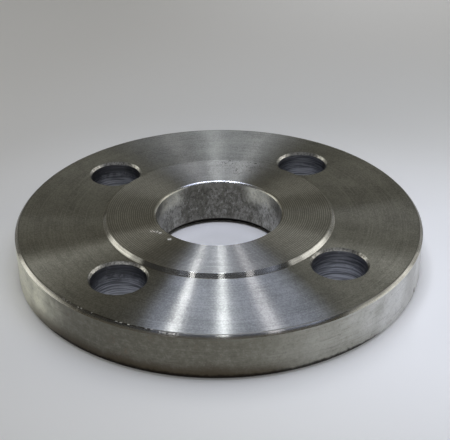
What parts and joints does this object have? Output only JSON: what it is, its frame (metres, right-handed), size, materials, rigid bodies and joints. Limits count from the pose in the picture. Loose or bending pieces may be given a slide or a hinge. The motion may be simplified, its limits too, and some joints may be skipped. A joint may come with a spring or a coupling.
{
  "type": "pipe flange",
  "caption": "Flat round slip-on pipe flange in turned steel, with a raised sealing face, a plain bore for the pipe and a circle of bolt holes.",
  "frame": {"origin": "centre of the back face, on the bore axis", "axes": "+Z along the bore axis towards the raised sealing face; +X midway between two bolt holes"},
  "size_m": [0.14, 0.14, 0.0175],
  "materials": {
    "turned_steel": "bare steel, finely turned on the faces and left duller on the rim and in the bore"
  },
  "bodies": {
    "root": {"flange": "turned_steel"}
  },
  "joints": []
}
